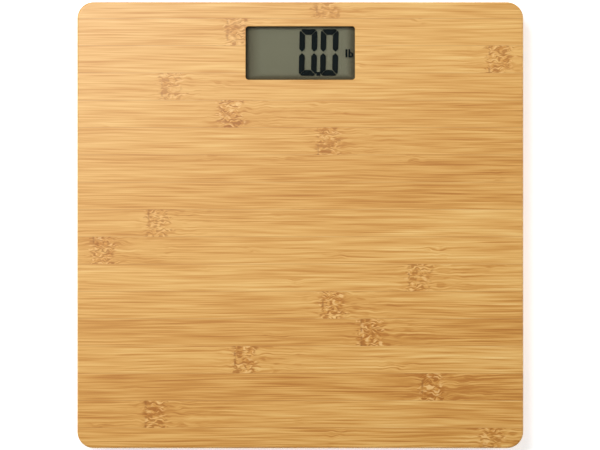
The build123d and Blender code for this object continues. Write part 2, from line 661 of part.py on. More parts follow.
def battery_door():
    """A plate with two hinge tabs at its -Y end and a snap latch at its +Y end."""
    latch_y = MODULE_Y + DOOR_LENGTH / 2 - DOOR_THICKNESS
    with BuildPart() as door:
        with BuildSketch(level(TUB_BOTTOM, x=BAY_X, y=MODULE_Y)) as plate:
            Rectangle(DOOR_WIDTH, DOOR_LENGTH)
            fillet(plate.vertices().group_by(Axis.Y)[-1], DOOR_CORNER - DOOR_GAP)
        extrude(amount=DOOR_THICKNESS)
        fillet(door.edges().filter_by(Axis.X).group_by(Axis.Y)[0], DOOR_THICKNESS / 2 - 0.01)
        # Tabs: a riser on the plate and an arm that reaches over the housing's floor.
        with BuildSketch(level(DOOR_TOP - OVERLAP, x=BAY_X, y=HINGE_Y + TAB_RISER_Y)):
            with GridLocations(2 * TAB_X, 0, 2, 1):
                Rectangle(TAB_WIDTH, TAB_RISER)
        extrude(amount=TAB_TOP - DOOR_TOP + OVERLAP)
        with BuildSketch(level(BAY_SHELF + TAB_GAP, x=BAY_X, y=HINGE_Y + TAB_ARM_Y - TAB_REACH / 2)):
            with GridLocations(2 * TAB_X, 0, 2, 1):
                Rectangle(TAB_WIDTH, TAB_REACH)
        extrude(amount=TAB_TOP - BAY_SHELF - TAB_GAP)
        # Latch: a springy tongue with a small nose.
        with BuildSketch(Plane.YZ.offset(BAY_X - LATCH_WIDTH / 2)):
            with BuildLine():
                outer = latch_y + LATCH_THICKNESS
                Polyline(
                    (latch_y, DOOR_TOP - OVERLAP),
                    (latch_y, DOOR_TOP + LATCH_HEIGHT),
                    (outer, DOOR_TOP + LATCH_HEIGHT),
                    (outer, DOOR_TOP + LATCH_HEIGHT * 0.7),
                    (outer + LATCH_NOSE, DOOR_TOP + LATCH_HEIGHT * 0.5),
                    (outer, DOOR_TOP + LATCH_HEIGHT * 0.35),
                    (outer, DOOR_TOP - OVERLAP),
                    close=True,
                )
            make_face()
        extrude(amount=LATCH_WIDTH)
        # Grip: a shallow recess with ridges across it.
        with BuildSketch(level(TUB_BOTTOM, x=BAY_X, y=MODULE_Y + DOOR_LENGTH / 2 - GRIP_LENGTH)):
            RectangleRounded(GRIP_WIDTH, GRIP_LENGTH, GRIP_RIDGE)
            with GridLocations(0, 2 * GRIP_RIDGE, 1, 3):
                Rectangle(GRIP_WIDTH - 2 * GRIP_RIDGE, GRIP_RIDGE, mode=Mode.SUBTRACT)
        extrude(amount=GRIP_DEPTH, mode=Mode.SUBTRACT)
    return door


def coin_cell():
    """A 20 mm coin cell with its wide can downwards and its smaller cap on top."""
    with BuildPart() as cell:
        with BuildSketch(level(CELL_Z, x=BAY_X, y=MODULE_Y)):
            Circle(CELL_RADIUS)
        extrude(amount=CELL_THICKNESS - CELL_CAP_RISE)
        fillet(cell.edges().filter_by(GeomType.CIRCLE), CELL_ROUND)
        with BuildSketch(level(CELL_TOP - CELL_CAP_RISE, x=BAY_X, y=MODULE_Y)):
            Circle(CELL_CAP_RADIUS)
        extrude(amount=CELL_CAP_RISE)
        fillet(cell.faces().sort_by(Axis.Z)[-1].edges(), CELL_ROUND / 2)
    return cell


def battery_positive_contact():
    """A leaf that touches the can's side and bends over under the circuit board."""
    x = BAY_X + CELL_RADIUS + CONTACT_THICKNESS / 2 + CONTACT_GAP
    with BuildPart() as contact:
        with BuildSketch(Plane.XZ.offset(-MODULE_Y - CONTACT_WIDTH / 2)):
            with BuildLine():
                FilletPolyline(
                    (x, CELL_Z + 0.3),
                    (x, BOARD_Z - CONTACT_THICKNESS / 2),
                    (x + CONTACT_FOOT, BOARD_Z - CONTACT_THICKNESS / 2),
                    radius=0.5,
                )
            trace(line_width=CONTACT_THICKNESS)
        extrude(amount=CONTACT_WIDTH)
    return contact


def battery_negative_contact():
    """A finger that springs down on the cell's cap, with its root under the circuit board."""
    root_x = BAY_X - CELL_RADIUS - 1
    low = CELL_TOP + CONTACT_THICKNESS / 2
    high = WELL_TOP - CONTACT_THICKNESS
    with BuildPart() as contact:
        with BuildSketch(Plane.XZ.offset(-MODULE_Y - CONTACT_WIDTH / 2)):
            with BuildLine():
                FilletPolyline(
                    (root_x - CONTACT_FOOT, BOARD_Z - CONTACT_THICKNESS / 2),
                    (root_x, BOARD_Z - CONTACT_THICKNESS / 2),
                    (root_x, high),
                    (BAY_X - 5, high),
                    (BAY_X + 1, low + 0.02),
                    (BAY_X + 3, low + 0.3),
                    radius=[0.5, 0.4, 1.5, 0.8],
                )
            trace(line_width=CONTACT_THICKNESS)
        extrude(amount=CONTACT_WIDTH)
    return contact


# ---- Screws ----


def countersunk_screw():
    """One countersunk screw, with its head's face on the XY plane and its shank up the Z axis."""
    cone = SCREW_HEAD_RADIUS - SCREW_RADIUS
    with BuildPart() as screw:
        with BuildSketch(Plane.XZ):
            with BuildLine():
                Polyline(
                    (0, 0),
                    (SCREW_HEAD_RADIUS, 0),
                    (SCREW_RADIUS, cone),
                    (SCREW_RADIUS, SCREW_LENGTH - SCREW_TIP),
                    (0, SCREW_LENGTH),
                    close=True,
                )
            make_face()
        revolve(axis=Axis.Z)
        with BuildSketch(Plane.XY):
            Rectangle(CROSS_LENGTH, CROSS_WIDTH)
            Rectangle(CROSS_WIDTH, CROSS_LENGTH)
        extrude(amount=CROSS_DEPTH, mode=Mode.SUBTRACT)
    return screw.part


def module_screws():
    with BuildPart() as screws:
        with Locations(level(UNDERSIDE, y=MODULE_Y)):
            with GridLocations(2 * MODULE_SCREW_X, 2 * MODULE_SCREW_Y, 2, 2):
                add(countersunk_screw())
    return screws


def foot_screws():
    with BuildPart() as screws:
        for x, y in FEET.values():
            with Locations(foot_level(UNDERSIDE, x, y)):
                with PolarLocations(FOOT_SCREW_CIRCLE, 3, start_angle=FOOT_SCREW_ANGLES[0]):
                    add(countersunk_screw())
    return screws


# ---- Load cell feet ----


def foot_housing(x, y):
    """A flange let into the board, and the ring below it that guides the foot cap under the load cell."""
    with BuildPart() as housing:
        with BuildSketch(foot_level(UNDERSIDE, x, y)):
            Circle(RING_RADIUS)
        extrude(amount=RING_BOTTOM - UNDERSIDE, taper=RING_DRAFT)
        fillet(housing.faces().sort_by(Axis.Z)[0].edges(), RING_ROUND)
        with BuildSketch(foot_level(UNDERSIDE, x, y)):
            Circle(FOOT_FLANGE_RADIUS)
        extrude(amount=FOOT_POCKET_TOP - UNDERSIDE)
        circles = housing.edges().filter_by(GeomType.CIRCLE)
        rim = circles.filter_by(lambda edge: edge.radius > RING_RADIUS + 1)
        fillet(rim.sort_by(Axis.Z)[0], FOOT_FLANGE_ROUND)
        with BuildSketch(foot_level(RETAINING_LIP_TOP, x, y)):
            Circle(CAVITY_RADIUS)
        extrude(amount=CAVITY_TOP - RETAINING_LIP_TOP, mode=Mode.SUBTRACT)
        with BuildSketch(foot_level(RING_BOTTOM, x, y)):
            Circle(RETAINING_LIP_RADIUS)
        extrude(amount=RETAINING_LIP_TOP - RING_BOTTOM, mode=Mode.SUBTRACT)
        # Two bars that carry the load cell's frame.
        with BuildSketch(foot_level(SEAT_Z, x, y)):
            with GridLocations(0, 2 * SEAT_Y, 1, 2):
                Rectangle(SEAT_LENGTH, SEAT_WIDTH)
        extrude(amount=CAVITY_TOP - SEAT_Z)
        # The leads' way up through the ceiling and out over the flange.
        with BuildSketch(foot_level(CAVITY_TOP, x, y)):
            with Locations((sum(LEAD_HOLE) / 2, 0)):
                Rectangle(LEAD_HOLE[1] - LEAD_HOLE[0], GROOVE_WIDTH - 1)
        extrude(amount=FOOT_POCKET_TOP - CAVITY_TOP, mode=Mode.SUBTRACT)
        with BuildSketch(foot_level(LEAD_Z - 2 * LEAD_RADIUS, x, y)):
            with Locations(((LEAD_HOLE[0] + FOOT_FLANGE_RADIUS + OVERLAP) / 2, 0)):
                Rectangle(FOOT_FLANGE_RADIUS + OVERLAP - LEAD_HOLE[0], GROOVE_WIDTH - 1)
        extrude(amount=FOOT_POCKET_TOP - LEAD_Z + 2 * LEAD_RADIUS, mode=Mode.SUBTRACT)
        for angle in FOOT_SCREW_ANGLES:
            from_centre = Vector(FOOT_SCREW_CIRCLE, 0, 0).rotate(Axis.Z, angle)
            spot = foot_level(UNDERSIDE, x, y).from_local_coords(from_centre)
            with Locations(facing_down(UNDERSIDE, spot.X, spot.Y)):
                CounterSinkHole(
                    SCREW_RADIUS + SCREW_GAP,
                    SCREW_HEAD_RADIUS + SCREW_GAP,
                    depth=FOOT_POCKET_TOP - UNDERSIDE,
                )
    return housing


def load_cell(x, y):
    """A stamped steel plate: its frame bears on the housing, and the foot pushes on the tongue within it."""
    slot_length = TONGUE_ROOT - TONGUE_TIP + TONGUE_SLOT
    with BuildPart() as cell:
        with BuildSketch(foot_level(LOAD_CELL_Z, x, y)):
            RectangleRounded(LOAD_CELL_SIDE, LOAD_CELL_SIDE, LOAD_CELL_CORNER)
            with Locations((TONGUE_ROOT - slot_length / 2, 0)):
                Rectangle(slot_length, TONGUE_WIDTH + 2 * TONGUE_SLOT, mode=Mode.SUBTRACT)
            with Locations(((TONGUE_ROOT + TONGUE_TIP + OVERLAP) / 2, 0)):
                Rectangle(TONGUE_ROOT - TONGUE_TIP + OVERLAP, TONGUE_WIDTH)
            Circle(TONGUE_HOLE_RADIUS, mode=Mode.SUBTRACT)
        extrude(amount=LOAD_CELL_THICKNESS)
    return cell


def strain_gauge(x, y):
    """The gauge on the tongue's root, under its drop of white silicone."""
    with BuildPart() as gauge:
        with BuildSketch(foot_level(SEAT_Z, x, y)):
            with Locations((GAUGE_X, 0)):
                RectangleRounded(GAUGE_LENGTH, GAUGE_WIDTH, GAUGE_CORNER)
        extrude(amount=GAUGE_HEIGHT)
        fillet(gauge.faces().sort_by(Axis.Z)[-1].edges(), GAUGE_ROUND)
    return gauge


def foot_cap(x, y):
    """The moving foot: a ribbed cup that carries the pad and pushes the load cell's tongue with its post."""
    with BuildPart() as cap:
        with BuildSketch(foot_section(x, y)):
            with BuildLine():
                Polyline(
                    (0, PAD_HEIGHT),
                    (PAD_RECESS_RADIUS, PAD_HEIGHT),
                    (PAD_RECESS_RADIUS, CAP_BOTTOM),
                    (CAP_RADIUS, CAP_BOTTOM),
                    (CAP_RADIUS, CAP_FLANGE_Z),
                    (CAP_FLANGE_RADIUS, CAP_FLANGE_Z),
                    (CAP_FLANGE_RADIUS, CAP_FLANGE_TOP),
                    (CAP_FLANGE_RADIUS - CAP_WALL, CAP_FLANGE_TOP),
                    (CAP_FLANGE_RADIUS - CAP_WALL, CAP_FLOOR_TOP),
                    (POST_RADIUS, CAP_FLOOR_TOP),
                    (POST_RADIUS, LOAD_CELL_Z),
                    (PIN_RADIUS, LOAD_CELL_Z),
                    (PIN_RADIUS, PIN_TOP),
                    (0, PIN_TOP),
                    close=True,
                )
            make_face()
        revolve(axis=Axis((x, y, 0), (0, 0, 1)))
        circles = cap.edges().filter_by(GeomType.CIRCLE)
        outer = circles.filter_by(lambda edge: abs(edge.radius - CAP_RADIUS) < 0.01)
        fillet(outer.sort_by(Axis.Z)[0], CAP_ROUND)
        with BuildSketch(foot_level(CAP_FLOOR_TOP, x, y)):
            with PolarLocations((POST_RADIUS + CAP_FLANGE_RADIUS - CAP_WALL) / 2, CAP_RIBS):
                Rectangle(CAP_FLANGE_RADIUS - CAP_WALL - POST_RADIUS + 2 * OVERLAP, CAP_RIB)
        extrude(amount=CAP_FLANGE_TOP - CAP_FLOOR_TOP)
    return cap


def foot_pad(x, y):
    """The rubber pad, with round treads in the face that meets the floor."""
    with BuildPart() as pad:
        with BuildSketch(foot_level(0, x, y)):
            Circle(PAD_RADIUS)
        extrude(amount=PAD_HEIGHT)
        fillet(pad.faces().sort_by(Axis.Z)[0].edges(), PAD_ROUND)
        with BuildSketch(foot_level(0, x, y)):
            for radius in reversed(TREAD_RADII):
                Circle(radius + TREAD_WIDTH)
                Circle(radius, mode=Mode.SUBTRACT)
        extrude(amount=TREAD_DEPTH, mode=Mode.SUBTRACT)
    return pad


# ---- Leads ----


def leads(shift):
    """The leads of one colour, from each strain gauge over the flange and along the groove to the board."""
    gauge_end = GAUGE_X + GAUGE_LENGTH / 2
    gauge_z = SEAT_Z + LEAD_RADIUS
    with BuildPart() as wires:
        for x, y in FEET.values():
            _, run = lead_direction(x, y)
            section = foot_section(x, y, shift)
            with BuildLine(section) as route:
                FilletPolyline(
                    (gauge_end, gauge_z),
                    (gauge_end + LEAD_FLAT, gauge_z),
                    (gauge_end + LEAD_FLAT + LEAD_RISE, LEAD_Z),
                    (run, LEAD_Z),
                    radius=LEAD_BENDS,
                )
            start = section.from_local_coords(Vector(gauge_end, gauge_z, 0))
            with BuildSketch(Plane(start, z_dir=section.x_dir)):
                Circle(LEAD_RADIUS)
            sweep(path=route.line)
    return wires


def main():
    os.makedirs("parts", exist_ok=True)
    save(platform_board(), "platform_board")

    save(display_window(), "display_window")
    save(display_gasket(), "display_gasket")
    save(display_film(POLARIZER_Z), "lcd_front_polarizer")
    save(display_glass(FRONT_GLASS_Z, FRONT_GLASS_LENGTH), "lcd_front_glass")
    save(display_glass(REAR_GLASS_Z, REAR_GLASS_LENGTH), "lcd_rear_glass")
    save(display_film(REFLECTOR_Z), "lcd_reflector")
    save(display_holder(), "lcd_holder")
    save(zebra_strip(), "zebra_strip")

    save(circuit_board(), "circuit_board")
    save(circuit_board_screws(), "circuit_board_screws")
    save(controller_blob(), "controller_blob")
    save(crystal(), "crystal")
    save(capacitors(), "capacitors")
    save(unit_switch_body(), "unit_switch_body")
    save(unit_switch_plunger(), "unit_switch_plunger")
    save(unit_button(), "unit_button")

    save(module_housing(), "module_housing")
    save(battery_door(), "battery_door")
    save(coin_cell(), "coin_cell")
    save(battery_positive_contact(), "battery_positive_contact")
    save(battery_negative_contact(), "battery_negative_contact")
    save(module_screws(), "module_screws")
    save(foot_screws(), "foot_screws")

    for name, (x, y) in FEET.items():
        save(foot_housing(x, y), f"foot_housing_{name}")
        save(load_cell(x, y), f"load_cell_{name}")
        save(strain_gauge(x, y), f"strain_gauge_{name}")
        save(foot_cap(x, y), f"foot_cap_{name}")
        save(foot_pad(x, y), f"foot_pad_{name}")
        save(groove_cover(x, y), f"groove_cover_{name}")

    for colour, shift in LEADS.items():
        save(leads(shift), f"leads_{colour}")


main()
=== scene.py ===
"""The looks of a digital bathroom scale: a bamboo platform with a sunken LCD, on four load cell feet.

Metres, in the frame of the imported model: the floor is z = 0, +Y points to the display's edge and +X to the
right. Materials work in millimetres on the object's own coordinates, so their grain keeps its real size.
"""

import json
import math

import bpy
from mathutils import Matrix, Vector


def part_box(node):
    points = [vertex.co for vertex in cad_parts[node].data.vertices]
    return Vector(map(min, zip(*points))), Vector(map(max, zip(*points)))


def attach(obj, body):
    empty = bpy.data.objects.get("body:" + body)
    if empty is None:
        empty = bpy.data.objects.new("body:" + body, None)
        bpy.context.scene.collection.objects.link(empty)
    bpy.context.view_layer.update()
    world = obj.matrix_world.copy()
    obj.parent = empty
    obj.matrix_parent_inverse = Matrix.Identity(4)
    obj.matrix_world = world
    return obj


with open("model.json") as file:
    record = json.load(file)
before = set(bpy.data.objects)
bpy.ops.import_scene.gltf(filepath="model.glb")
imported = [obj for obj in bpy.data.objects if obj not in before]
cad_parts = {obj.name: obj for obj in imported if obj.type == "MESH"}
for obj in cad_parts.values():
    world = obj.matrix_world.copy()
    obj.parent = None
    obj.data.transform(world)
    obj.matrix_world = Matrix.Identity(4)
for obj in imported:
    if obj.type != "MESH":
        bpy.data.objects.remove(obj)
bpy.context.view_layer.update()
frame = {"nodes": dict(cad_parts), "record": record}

MM = 0.001
NODES = frame["nodes"]

BOARD_LOW, BOARD_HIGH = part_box("platform_board")
WINDOW_LOW, WINDOW_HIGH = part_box("display_window")

# The opening in the board that the display is seen through, in mm. It is centred in X.
OPENING_WIDTH = 73.5
OPENING_LENGTH = 36.0
WINDOW_Y = (WINDOW_LOW.y + WINDOW_HIGH.y) / 2 / MM


# ---- Node trees ----


class Tree:
    """A material's node tree. Each call adds one node and returns the output that the next call takes."""

    def __init__(self, name):
        self.material = bpy.data.materials.new(name)
        self.material.use_nodes = True
        self.nodes = self.material.node_tree.nodes
        self.links = self.material.node_tree.links
        self.nodes.clear()

    def add(self, kind, inputs, output=0, **settings):
        node = self.nodes.new(kind)
        for name, value in settings.items():
            setattr(node, name, value)
        for key, value in inputs.items():
            socket = node.inputs[key]
            if isinstance(value, bpy.types.NodeSocket):
                self.links.new(value, socket)
            elif socket.type == "RGBA":
                socket.default_value = (*value, 1.0)
            else:
                socket.default_value = value
        return node.outputs[output]

    def math(self, operation, *values, clamp=False):
        return self.add("ShaderNodeMath", dict(enumerate(values)), operation=operation, use_clamp=clamp)

    def vector(self, operation, *values):
        return self.add("ShaderNodeVectorMath", dict(enumerate(values)), operation=operation)

    def place(self):
        """The point on the object, in mm."""
        point = self.add("ShaderNodeTexCoord", {}, output="Object")
        return self.add("ShaderNodeVectorMath", {0: point, "Scale": 1 / MM}, operation="SCALE")

    def split(self, vector):
        node = self.nodes.new("ShaderNodeSeparateXYZ")
        self.links.new(vector, node.inputs[0])
        return node.outputs

    def join(self, x=0.0, y=0.0, z=0.0):
        return self.add("ShaderNodeCombineXYZ", {0: x, 1: y, 2: z})

    def noise(self, vector, detail, roughness=0.5, scale=1.0):
        inputs = {"Vector": vector, "Scale": scale, "Detail": detail, "Roughness": roughness}
        return self.add("ShaderNodeTexNoise", inputs, noise_dimensions="3D")

    def ease(self, value, low, high, to_low=0.0, to_high=1.0):
        """value taken from low..high to to_low..to_high, smoothly and no further."""
        inputs = {0: value, 1: low, 2: high, 3: to_low, 4: to_high}
        return self.add("ShaderNodeMapRange", inputs, interpolation_type="SMOOTHSTEP")

    def ramp(self, value, stops, interpolation="LINEAR"):
        """The colour and the alpha that stops of (position, (r, g, b, alpha)) give for value."""
        node = self.nodes.new("ShaderNodeValToRGB")
        node.color_ramp.interpolation = interpolation
        elements = node.color_ramp.elements
        elements.remove(elements[1])
        elements[0].position, elements[0].color = stops[0]
        for position, colour in stops[1:]:
            elements.new(position).color = colour
        self.links.new(value, node.inputs[0])
        return node.outputs

    def mix(self, factor, a, b):
        return self.add("ShaderNodeMix", {0: factor, 6: a, 7: b}, output=2, data_type="RGBA")

    def bump(self, height, distance, strength):
        """A normal from a height in 0..1, where 1 stands distance mm proud."""
        inputs = {"Height": height, "Distance": distance * MM, "Strength": strength}
        return self.add("ShaderNodeBump", inputs)

    def principled(self, colour, roughness, normal=None, **more):
        """A principled surface. more gives other sockets by their names, with _ for a space."""
        inputs = {"Base Color": colour, "Roughness": roughness}
        if normal:
            inputs["Normal"] = normal
        for key, value in more.items():
            inputs[key.replace("_", " ")] = value
        return self.add("ShaderNodeBsdfPrincipled", inputs)

    def finish(self, surface):
        output = self.nodes.new("ShaderNodeOutputMaterial")
        self.links.new(surface, output.inputs["Surface"])
        return self.material


# ---- Bamboo ----

# The board is pressed from three layers of flat bamboo strips. Strips are counted from the display's edge.
PLIES = 3
STRIP_WIDTH = 18.35
FIRST_STRIP_WIDTH = 11.0
PLY_SHIFT_ACROSS = 3.4  # how far each lower layer's strips lie from those above, in strips
PLY_SHIFT_ALONG = 61.0  # and how far their knuckles do, in mm

# For each strip of the top layer: where its knuckle lies along X in mm, how strongly it shows from 0 to 1,
# and how light the strip is at its left and right ends, from -1 to 1.
STRIPS = [
    (16, 0.6, 0.05, 0.3),
    (-44, 0.7, 0.1, 0.3),
    (132, 0.8, 0.15, 0.45),
    (-88, 0.6, 0.3, 0.1),
    (-48, 1.0, 0.35, -0.25),
    (17, 0.75, 0.1, -0.1),
    (0, 0.0, 0.1, -0.4),
    (0, 0.0, -0.05, -0.25),
    (-97, 0.7, 0.1, 0.5),
    (-134, 0.85, -0.05, 0.45),
    (78, 0.8, 0.3, 0.2),
    (20, 1.0, 0.05, -0.1),
    (46, 0.95, -0.3, -0.5),
    (-39, 0.9, 0.1, 0.5),
    (87, 1.0, -0.4, -0.7),
    (-99, 0.9, -0.35, 0.1),
    (128, 0.85, -0.1, 0.05),
]
KNUCKLE_SPAN = 300.0  # the knuckles lie within half of this to either side of the middle
RIDGE_LEFT = 5.0  # how far a knuckle's ridge lies to the left of its middle

# The fibres of a strip, from broad to fine: length and width in mm, an offset that tells them apart, and how
# much they count for in the tone.
FIBRES = [
    (110, 6.0, 0.0, 0.42),
    (65, 2.5, 1.7, 0.2),
    (40, 1.0, 4.4, 1.3),
]

# Bamboo from its darkest to its lightest, as (place on the scale of tones, colour).
BAMBOO_TONES = [
    (0.0, (0.47, 0.178, 0.018)),
    (0.3, (0.60, 0.277, 0.046)),
    (0.52, (0.70, 0.367, 0.088)),
    (0.75, (0.78, 0.455, 0.132)),
    (1.0, (0.86, 0.57, 0.21)),
]
MIDDLE_TONE = 0.5
KNUCKLE_BROWN = (0.62, 0.24, 0.02)
KNUCKLE_DARK = (0.37, 0.12, 0.002)
KNUCKLE_CREAM = (0.94, 0.62, 0.25)
KNUCKLE_RIDGE = (0.32, 0.11, 0.005)
GLUE = (0.36, 0.16, 0.045)


def strip_facts(t, strip):
    """What STRIPS says of a strip: its knuckle's place in mm and strength, and each end's tone in 0..1."""
    count = len(STRIPS)
    stops = []
    for i, (knuckle_x, strength, left, right) in enumerate(STRIPS):
        colour = (knuckle_x / KNUCKLE_SPAN + 0.5, left / 2 + 0.5, right / 2 + 0.5, strength)
        stops.append((i / count, colour))
    wrapped = t.math("WRAP", strip, count, 0.0)
    facts, strength = t.ramp(t.math("MULTIPLY_ADD", wrapped, 1 / count, 0.5 / count), stops, "CONSTANT")
    knuckle_x, left, right = t.split(facts)
    knuckle_x = t.math("MULTIPLY_ADD", knuckle_x, KNUCKLE_SPAN, KNUCKLE_SPAN / -2)
    return knuckle_x, strength, left, right


class Strip:
    """The strip of bamboo that a point of the board is in, and where in the strip the point lies."""

    def __init__(self, t):
        self.t = t
        self.place = t.place()
        self.x, self.y, self.z = t.split(self.place)
        self.low, self.high = BOARD_LOW / MM, BOARD_HIGH / MM

        # Layers are counted down from 0 at the top. Lower ones are the same strips, moved along and across.
        # The board is taken a little thicker than it is, so that its faces count to the layers they bound.
        skin, within = 0.01, 0.998
        self.ply_height = (self.high.z - self.low.z) / PLIES
        depth = t.math("SUBTRACT", self.high.z + skin, self.z)
        self.from_top = t.math("MULTIPLY", depth, within / self.ply_height)
        ply = t.math("FLOOR", self.from_top)
        first = (self.high.y - FIRST_STRIP_WIDTH) / STRIP_WIDTH + 1
        across = t.math("MULTIPLY_ADD", self.y, -1 / STRIP_WIDTH, first)
        across = t.math("MULTIPLY_ADD", ply, PLY_SHIFT_ACROSS, across)
        number = t.math("FLOOR", across)
        self.across = t.math("FRACT", across)
        self.along = t.math("MULTIPLY_ADD", self.x, 1 / (self.high.x - self.low.x), 0.5, clamp=True)

        knuckle_x, self.strength, left, right = strip_facts(t, number)
        knuckle_x = t.math("MULTIPLY_ADD", ply, PLY_SHIFT_ALONG, knuckle_x)
        self.from_knuckle = t.math("SUBTRACT", self.x, knuckle_x)
        left_part = t.math("MULTIPLY", left, t.math("SUBTRACT", 1.0, self.along))
        self.tone = t.math("ADD", left_part, t.math("MULTIPLY", right, self.along))

        # Each strip's noise is moved by its own amount, so that its fibres end where the strip does.
        self.own = t.join(*[t.math("MULTIPLY", number, amount) for amount in (5.3, 7.7, 11.9)])

    def noise(self, point, length, width, detail, offset=0.0):
        """Noise whose blotches are about length mm along X and width mm across. offset tells uses apart."""
        stretched = self.t.vector("MULTIPLY", point, (1 / length, 1 / width, 1 / width))
        moved = self.t.vector("ADD", stretched, (offset, offset, offset))
        return self.t.noise(self.t.vector("ADD", moved, self.own), detail)


def fibre_waves(t, strip):
    """How much the fibres swirl at the point, from 0 to 1, and where it would be if they were straight.

    They swirl beside the knuckle, further on its right, and in patches, and everywhere they wander a little.
    """
    lopsided = t.math("MAXIMUM", strip.from_knuckle, t.math("MULTIPLY", strip.from_knuckle, -2.2))
    past_core = t.math("MAXIMUM", t.math("SUBTRACT", lopsided, 7.0), 0.0)
    beside = t.math("EXPONENT", t.math("MULTIPLY", past_core, -0.05))
    beside = t.math("MULTIPLY", beside, strip.strength)
    patches = t.ease(strip.noise(strip.place, 40, 14, 1, 8.3), 0.63, 0.78)
    waving = t.math("MAXIMUM", beside, t.math("MULTIPLY", patches, 0.7))
    wander = t.math("SUBTRACT", strip.noise(strip.place, 110, 20, 1), 0.5)
    swirl = t.math("SUBTRACT", strip.noise(strip.place, 8, 3.6, 0, 3.1), 0.5)
    shift = t.math("MULTIPLY", wander, 3.5)
    shift = t.math("MULTIPLY_ADD", t.math("MULTIPLY", swirl, waving), 5.5, shift)
    return waving, t.vector("ADD", strip.place, t.join(y=shift))


def fibre_tone(t, strip):
    """How light the wood is, from its fibres, thin dark lines, flecks where fibres swirl and its strip."""
    waving, place = fibre_waves(t, strip)
    tone = 0.0
    for length, width, offset, weight in FIBRES:
        fibres = t.math("SUBTRACT", strip.noise(place, length, width, 1, offset), 0.5)
        tone = t.math("MULTIPLY_ADD", fibres, weight, tone)
    lines = t.ease(strip.noise(place, 55, 1.1, 1, 6.1), 0.57, 0.7)
    tone = t.math("MULTIPLY_ADD", lines, -0.2, tone)
    flecks = t.ease(strip.noise(place, 8, 1.6, 0, 7.7), 0.56, 0.7)
    tone = t.math("MULTIPLY_ADD", t.math("MULTIPLY", flecks, waving), -0.4, tone)

    # The grain has more contrast to the right and towards the board's near edge.
    to_right = t.ease(strip.along, 0.0, 1.0, 0.87, 1.13)
    to_far_edge = t.ease(strip.y, strip.low.y, strip.high.y, 1.08, 0.78)
    tone = t.math("MULTIPLY_ADD", tone, t.math("MULTIPLY", to_right, to_far_edge), MIDDLE_TONE)
    return t.math("MULTIPLY_ADD", t.math("SUBTRACT", strip.tone, 0.5), 0.55, tone)


def knuckle(t, strip, colour):
    """Short crossed fibres, dark and cream, laid over colour, with ragged ends and a dark ridge on the left.

    Gives the new colour, how far the point is in a knuckle from 0 to 1, and the crossed fibres' noise.
    """
    ragged = t.math("MULTIPLY", t.math("SUBTRACT", strip.noise(strip.place, 9, 1.9, 1, 9.7), 0.5), 15.0)
    to_right = t.math("MULTIPLY", strip.from_knuckle, 0.85)
    to_left = t.math("MULTIPLY", strip.from_knuckle, -1.15)
    reach = t.math("MAXIMUM", to_right, to_left)
    core = t.ease(t.math("ADD", reach, ragged), 9.5, 5.5)
    core = t.math("MULTIPLY", core, strip.strength)

    curl = t.math("SUBTRACT", strip.noise(strip.place, 4.4, 2.8, 0, 2.9), 0.5)
    crossed_place = t.vector("ADD", strip.place, t.join(y=t.math("MULTIPLY", curl, 4.5)))
    crossed = strip.noise(crossed_place, 3.8, 1.0, 1, 5.9)
    dark = t.math("MULTIPLY", t.ease(crossed, 0.51, 0.4), core)
    cream = t.math("MULTIPLY", t.ease(crossed, 0.55, 0.66), core)
    from_ridge = t.math("ABSOLUTE", t.math("ADD", strip.from_knuckle, RIDGE_LEFT))
    ridge = t.math("MULTIPLY", t.ease(from_ridge, 1.0, 0.3), core)
    ridge = t.math("MULTIPLY", ridge, t.ease(strip.noise(strip.place, 30, 4.0, 1, 7.3), 0.45, 0.6))

    colour = t.mix(t.math("MULTIPLY", core, 0.25), colour, KNUCKLE_BROWN)
    colour = t.mix(t.math("MULTIPLY", dark, 0.85), colour, KNUCKLE_DARK)
    colour = t.mix(t.math("MULTIPLY", cream, 0.6), colour, KNUCKLE_CREAM)
    colour = t.mix(t.math("MULTIPLY", ridge, 0.7), colour, KNUCKLE_RIDGE)
    return colour, core, crossed


def glue_lines(t, strip):
    """How much glue shows: between neighbouring strips, and between layers on the board's sides."""
    to_edge = t.math("MINIMUM", strip.across, t.math("SUBTRACT", 1.0, strip.across))
    to_edge = t.math("MULTIPLY", to_edge, STRIP_WIDTH)
    to_ply_edge = t.math("MULTIPLY", t.math("PINGPONG", strip.from_top, 0.5), strip.ply_height)
    below_top = t.ease(t.math("SUBTRACT", strip.high.z, strip.z), 1.2, 1.6)
    above_bottom = t.ease(t.math("SUBTRACT", strip.z, strip.low.z), 1.2, 1.6)
    on_side = t.math("MULTIPLY", below_top, above_bottom)
    ply_seam = t.math("MULTIPLY", t.ease(to_ply_edge, 0.2, 0.05), on_side)
    strip_seam = t.ease(to_edge, 0.3, 0.08, 0.0, 0.35)
    return t.math("MAXIMUM", strip_seam, t.math("MULTIPLY", ply_seam, 0.7))


def bamboo():
    """Strips of bamboo side by side, each with its own tone, fibres along X and a knuckle across it."""
    t = Tree("bamboo")
    strip = Strip(t)
    tone = fibre_tone(t, strip)
    colour, _ = t.ramp(tone, [(position, (*tint, 1)) for position, tint in BAMBOO_TONES])
    colour, core, crossed = knuckle(t, strip, colour)
    seam = glue_lines(t, strip)
    colour = t.mix(seam, colour, GLUE)

    relief = t.math("MULTIPLY_ADD", core, t.math("SUBTRACT", crossed, 0.5), t.math("MULTIPLY", tone, 0.2))
    relief = t.math("MULTIPLY_ADD", seam, -0.5, relief)
    gloss = t.ease(tone, 0.2, 0.9, 0.47, 0.38)
    varnish = {"Coat_Weight": 0.35, "Coat_Roughness": 0.34}
    return t.finish(t.principled(colour, gloss, t.bump(relief, 0.06, 0.6), **varnish))


# ---- Other materials ----


